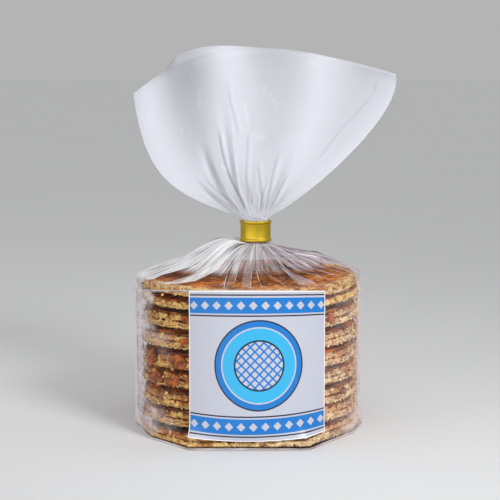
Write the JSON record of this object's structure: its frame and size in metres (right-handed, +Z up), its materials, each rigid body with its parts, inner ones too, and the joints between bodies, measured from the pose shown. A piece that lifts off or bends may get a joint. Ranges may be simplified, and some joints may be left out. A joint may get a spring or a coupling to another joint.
{
  "type": "bag of stroopwafels",
  "caption": "Upright clear film bag holding a round pile of syrup waffles, gathered and closed by a gold clip band, with a fanned top and a front label.",
  "frame": {"origin": "centre of the base, on the pile's axis", "axes": "+Z up, the front with the label looks along -Y, +X to the right of someone facing the front"},
  "size_m": [0.0945, 0.0832, 0.1387],
  "materials": {
    "film": "clear glossy wrapping film, milky where it is doubled and gathered",
    "waffle": "baked waffle, dry and crumbly, pale gold at the edge and brown on its face",
    "syrup": "glossy amber caramel syrup",
    "clip": "gold-coloured metal foil strip, satin, with a bright wire along each edge",
    "label": "smooth white paper label with blue and navy print, slightly glossy"
  },
  "bodies": {
    "root": {"waffles": "waffle", "bag": "film", "clip": "clip", "label": "label"}
  },
  "joints": []
}
